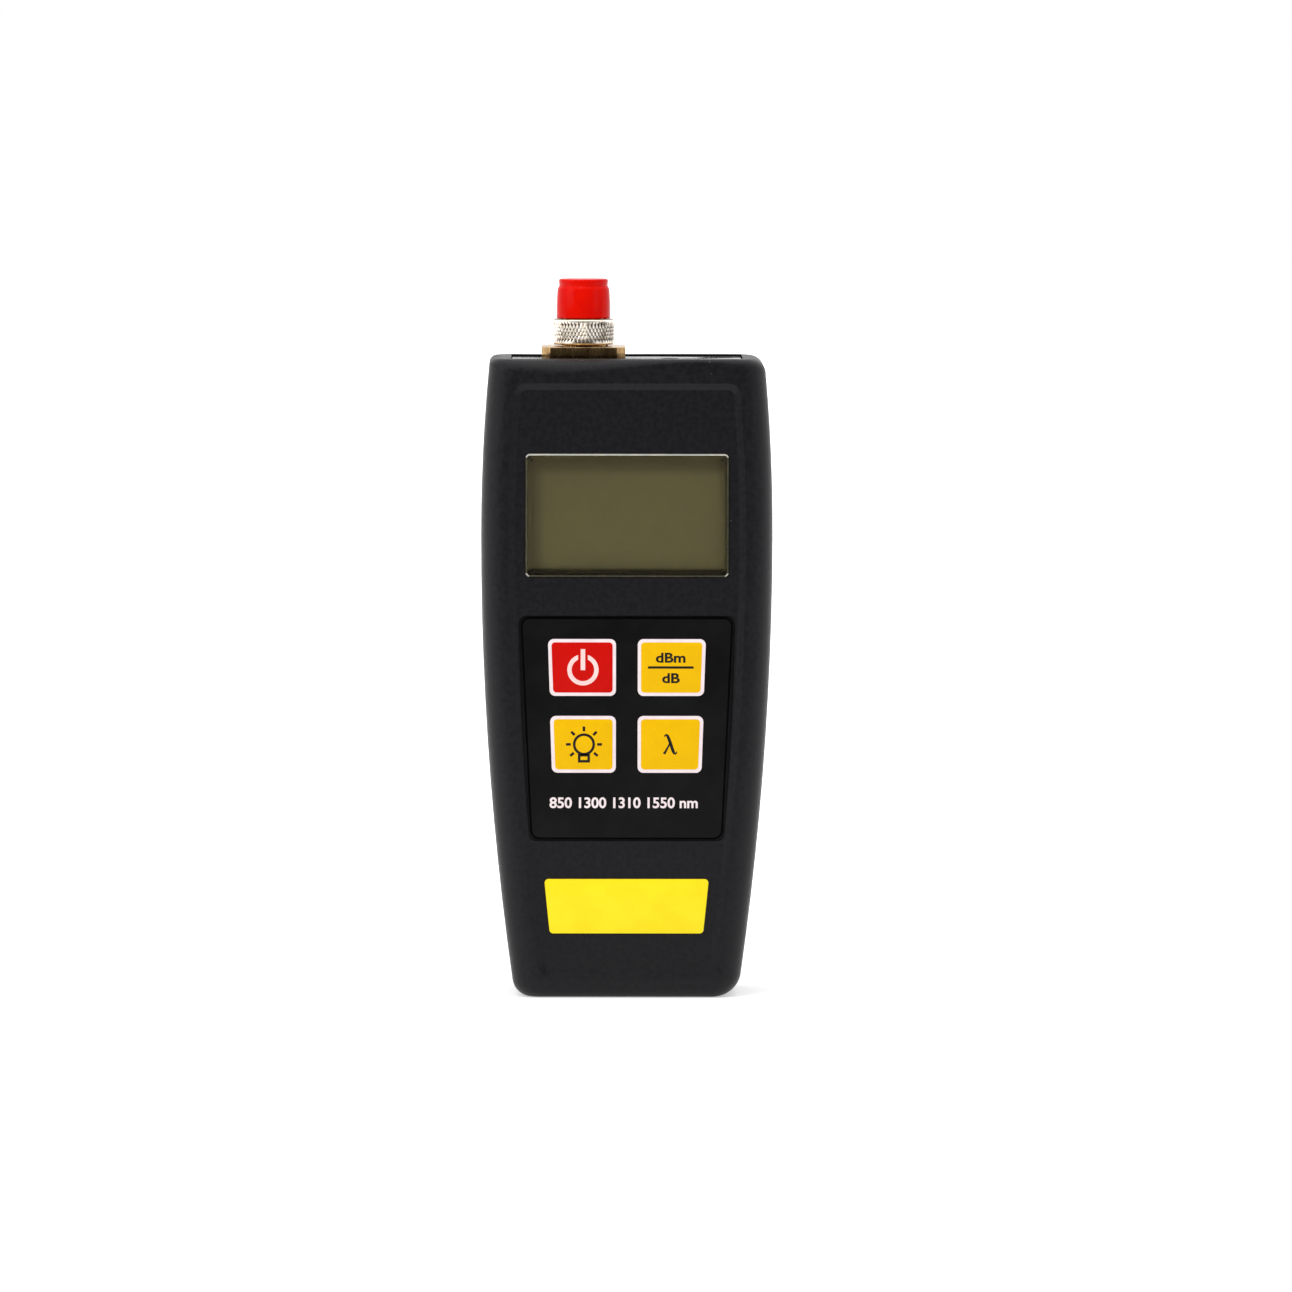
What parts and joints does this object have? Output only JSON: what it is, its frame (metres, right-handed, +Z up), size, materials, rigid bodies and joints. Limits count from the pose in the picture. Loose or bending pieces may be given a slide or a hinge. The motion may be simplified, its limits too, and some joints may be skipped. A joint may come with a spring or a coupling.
{
  "type": "optical power meter",
  "caption": "Handheld optical power meter: tapered black case, display window, embossed keys, fibre port with knurled adapter and dust cap, sliding battery door.",
  "frame": {"origin": "on the standing plane, under the middle of the case", "axes": "+Z up towards the fibre port, -Y out of the display and keys, +X to the right as the keys are read"},
  "size_m": [0.0522, 0.026, 0.1287],
  "materials": {
    "case_black": "fine spark-textured ABS",
    "panel_black": "smooth moulded ABS",
    "film_black": "satin polyester film",
    "key_red": "embossed printed film",
    "key_yellow": "embossed printed film",
    "label_yellow": "printed plate",
    "lens_clear": "polished acrylic",
    "display_olive": "reflective liquid crystal glass",
    "holder_white": "moulded",
    "rubber_grey": "moulded",
    "board_green": "solder mask",
    "chip_black": "moulded epoxy",
    "steel_screw": "zinc plated",
    "steel_sheet": "nickel plated sheet",
    "cell_wrap": "shrink wrap",
    "brass": "turned",
    "nickel": "bright nickel plate",
    "cap_red": "soft moulded plastic"
  },
  "bodies": {
    "root": {"front_shell": "case_black", "rear_shell": "case_black", "end_panel": "panel_black", "display_window": "lens_clear", "keypad_overlay": "film_black", "name_label": "label_yellow", "lcd_glass": "display_olive", "lcd_holder": "holder_white", "backlight_panel": "holder_white", "zebra_strip": "rubber_grey", "main_board": "board_green", "board_screws": "steel_screw", "case_screws": "steel_screw", "microcontroller": "chip_black", "amplifier_chip": "chip_black", "crystal_can": "steel_sheet", "left_cell": "cell_wrap", "right_cell": "cell_wrap", "cell_bridge": "steel_sheet", "positive_contact": "steel_sheet", "negative_contact": "steel_sheet", "detector_receptacle": "brass", "photodiode": "brass", "lock_washer": "steel_sheet", "panel_nut": "brass", "dc_jack": "chip_black", "power_switch": "chip_black", "unit_switch": "chip_black", "backlight_switch": "chip_black", "wavelength_switch": "chip_black"},
    "battery_door": {"battery_door": "case_black"},
    "adapter": {"adapter_barrel": "nickel"},
    "coupling_nut": {"coupling_nut": "nickel"},
    "dust_cap": {"dust_cap": "cap_red"},
    "power_key": {"power_key": "key_red", "power_plunger": "holder_white"},
    "unit_key": {"unit_key": "key_yellow", "unit_plunger": "holder_white"},
    "backlight_key": {"backlight_key": "key_yellow", "backlight_plunger": "holder_white"},
    "wavelength_key": {"wavelength_key": "key_yellow", "wavelength_plunger": "holder_white"}
  },
  "joints": [
    {"name": "power_press", "type": "slide", "parent": "root", "child": "power_key", "axis": [0, 1, 0], "range_m": [0, 0.0003], "stiffness_N_per_m": 5000},
    {"name": "unit_press", "type": "slide", "parent": "root", "child": "unit_key", "axis": [0, 1, 0], "range_m": [0, 0.0003], "stiffness_N_per_m": 5000},
    {"name": "backlight_press", "type": "slide", "parent": "root", "child": "backlight_key", "axis": [0, 1, 0], "range_m": [0, 0.0003], "stiffness_N_per_m": 5000},
    {"name": "wavelength_press", "type": "slide", "parent": "root", "child": "wavelength_key", "axis": [0, 1, 0], "range_m": [0, 0.0003], "stiffness_N_per_m": 5000},
    {"name": "door_slide", "type": "slide", "parent": "root", "child": "battery_door", "axis": [0, 0, -1], "range_m": [0, 0.064]},
    {"name": "adapter_lift", "type": "slide", "parent": "root", "child": "adapter", "axis": [0, 0, 1], "range_m": [0, 0.00225]},
    {"name": "nut_turn", "type": "hinge", "parent": "adapter", "child": "coupling_nut", "pos_m": [-0.0078, 0, 0.119], "axis": [0, 0, 1], "range_deg": [0, 1080]},
    {"name": "cap_lift", "type": "slide", "parent": "adapter", "child": "dust_cap", "axis": [0, 0, 1], "range_m": [0, 0.04]}
  ],
  "couplings": [
    {"joint": "nut_turn", "follows": "adapter_lift", "rad_per_m": 8377.6}
  ]
}
